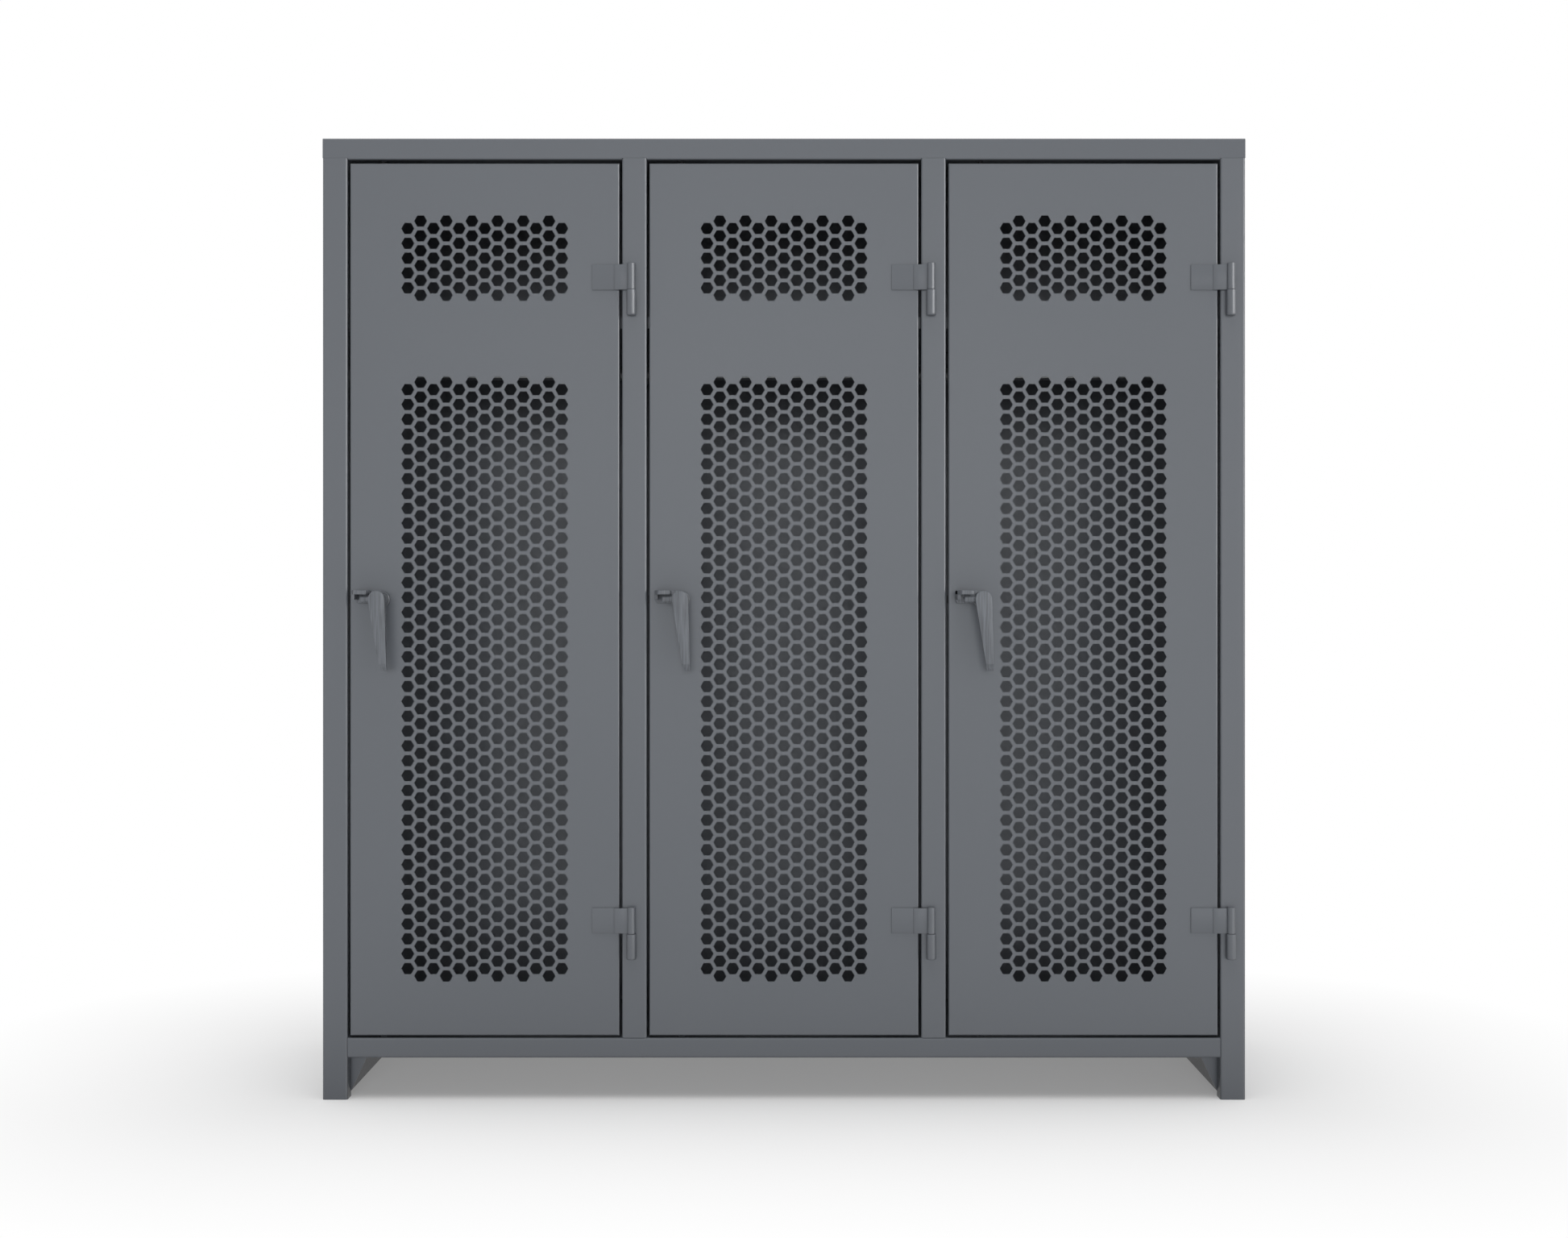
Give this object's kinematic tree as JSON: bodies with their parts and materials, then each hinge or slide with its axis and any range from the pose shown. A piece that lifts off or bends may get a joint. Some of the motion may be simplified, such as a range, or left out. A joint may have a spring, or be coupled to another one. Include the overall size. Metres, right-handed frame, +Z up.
{
  "type": "ventilated locker",
  "caption": "Wide welded steel locker with flush doors side by side, hexagonal perforation for airing, lift-off hinges and padlockable lever handles with latch rods.",
  "frame": {"origin": "on the floor, in the middle of the box round the whole part with its levers", "axes": "+X to the right as seen from the front, +Y from the doors towards the back, +Z up"},
  "size_m": [1.8288, 0.673, 1.905],
  "materials": {
    "grey_paint": "smooth semi-gloss grey powder coat on folded steel sheet",
    "handle_paint": "semi-gloss grey paint on cast metal, slightly lighter on worn edges",
    "zinc_steel": "bright zinc plate on drawn steel bar",
    "black_steel": "black oxide on drawn steel rod and cut plate"
  },
  "bodies": {
    "cabinet": {"top_front_rail": "grey_paint", "top_panel": "grey_paint", "bottom_front_rail": "grey_paint", "back_panel": "grey_paint", "floor_panel": "grey_paint", "front_left_post": "grey_paint", "front_right_post": "grey_paint", "rear_left_post": "grey_paint", "rear_right_post": "grey_paint", "left_side_panel": "grey_paint", "right_side_panel": "grey_paint", "left_base_runner": "grey_paint", "right_base_runner": "grey_paint", "left_mullion": "grey_paint", "middle_mullion": "grey_paint", "left_divider": "grey_paint", "middle_divider": "grey_paint", "left_hat_shelf": "grey_paint", "left_coat_rod": "zinc_steel", "left_upper_hinge_barrel": "grey_paint", "left_lower_hinge_barrel": "grey_paint", "left_upper_hinge_pin": "zinc_steel", "left_lower_hinge_pin": "zinc_steel", "middle_hat_shelf": "grey_paint", "middle_coat_rod": "zinc_steel", "middle_upper_hinge_barrel": "grey_paint", "middle_lower_hinge_barrel": "grey_paint", "middle_upper_hinge_pin": "zinc_steel", "middle_lower_hinge_pin": "zinc_steel", "right_hat_shelf": "grey_paint", "right_coat_rod": "zinc_steel", "right_upper_hinge_barrel": "grey_paint", "right_lower_hinge_barrel": "grey_paint", "right_upper_hinge_pin": "zinc_steel", "right_lower_hinge_pin": "zinc_steel"},
    "left_door": {"left_door_panel": "grey_paint", "left_upper_hinge_leaf": "grey_paint", "left_lower_hinge_leaf": "grey_paint", "left_padlock_hasp": "handle_paint"},
    "left_lever": {"left_lever": "handle_paint", "left_latch_cam": "black_steel"},
    "left_upper_rod": {"left_upper_lock_rod": "black_steel"},
    "left_lower_rod": {"left_lower_lock_rod": "black_steel"},
    "middle_door": {"middle_door_panel": "grey_paint", "middle_upper_hinge_leaf": "grey_paint", "middle_lower_hinge_leaf": "grey_paint", "middle_padlock_hasp": "handle_paint"},
    "middle_lever": {"middle_lever": "handle_paint", "middle_latch_cam": "black_steel"},
    "middle_upper_rod": {"middle_upper_lock_rod": "black_steel"},
    "middle_lower_rod": {"middle_lower_lock_rod": "black_steel"},
    "right_door": {"right_door_panel": "grey_paint", "right_upper_hinge_leaf": "grey_paint", "right_lower_hinge_leaf": "grey_paint", "right_padlock_hasp": "handle_paint"},
    "right_lever": {"right_lever": "handle_paint", "right_latch_cam": "black_steel"},
    "right_upper_rod": {"right_upper_lock_rod": "black_steel"},
    "right_lower_rod": {"right_lower_lock_rod": "black_steel"}
  },
  "joints": [
    {"name": "left_door_hinge", "type": "hinge", "parent": "cabinet", "child": "left_door", "pos_m": [-0.30172, -0.28285, 0.99135], "axis": [0, 0, 1], "range_deg": [0, 120]},
    {"name": "left_lever_turn", "type": "hinge", "parent": "left_door", "child": "left_lever", "pos_m": [-0.7963, -0.27305, 0.99135], "axis": [0, -1, 0], "range_deg": [0, 90]},
    {"name": "left_upper_rod_slide", "type": "slide", "parent": "left_door", "child": "left_upper_rod", "axis": [0, 0, 1], "range_m": [-0.014, 0]},
    {"name": "left_lower_rod_slide", "type": "slide", "parent": "left_door", "child": "left_lower_rod", "axis": [0, 0, 1], "range_m": [0, 0.014]},
    {"name": "middle_door_hinge", "type": "hinge", "parent": "cabinet", "child": "middle_door", "pos_m": [0.29132, -0.28285, 0.99135], "axis": [0, 0, 1], "range_deg": [0, 120]},
    {"name": "middle_lever_turn", "type": "hinge", "parent": "middle_door", "child": "middle_lever", "pos_m": [-0.20327, -0.27305, 0.99135], "axis": [0, -1, 0], "range_deg": [0, 90]},
    {"name": "middle_upper_rod_slide", "type": "slide", "parent": "middle_door", "child": "middle_upper_rod", "axis": [0, 0, 1], "range_m": [-0.014, 0]},
    {"name": "middle_lower_rod_slide", "type": "slide", "parent": "middle_door", "child": "middle_lower_rod", "axis": [0, 0, 1], "range_m": [0, 0.014]},
    {"name": "right_door_hinge", "type": "hinge", "parent": "cabinet", "child": "right_door", "pos_m": [0.88435, -0.28285, 0.99135], "axis": [0, 0, 1], "range_deg": [0, 175]},
    {"name": "right_lever_turn", "type": "hinge", "parent": "right_door", "child": "right_lever", "pos_m": [0.38977, -0.27305, 0.99135], "axis": [0, -1, 0], "range_deg": [0, 90]},
    {"name": "right_upper_rod_slide", "type": "slide", "parent": "right_door", "child": "right_upper_rod", "axis": [0, 0, 1], "range_m": [-0.014, 0]},
    {"name": "right_lower_rod_slide", "type": "slide", "parent": "right_door", "child": "right_lower_rod", "axis": [0, 0, 1], "range_m": [0, 0.014]}
  ],
  "couplings": [
    {"joint": "left_upper_rod_slide", "follows": "left_lever_turn", "m_per_rad": -0.0089},
    {"joint": "left_lower_rod_slide", "follows": "left_lever_turn", "m_per_rad": 0.0089},
    {"joint": "middle_upper_rod_slide", "follows": "middle_lever_turn", "m_per_rad": -0.0089},
    {"joint": "middle_lower_rod_slide", "follows": "middle_lever_turn", "m_per_rad": 0.0089},
    {"joint": "right_upper_rod_slide", "follows": "right_lever_turn", "m_per_rad": -0.0089},
    {"joint": "right_lower_rod_slide", "follows": "right_lever_turn", "m_per_rad": 0.0089}
  ]
}
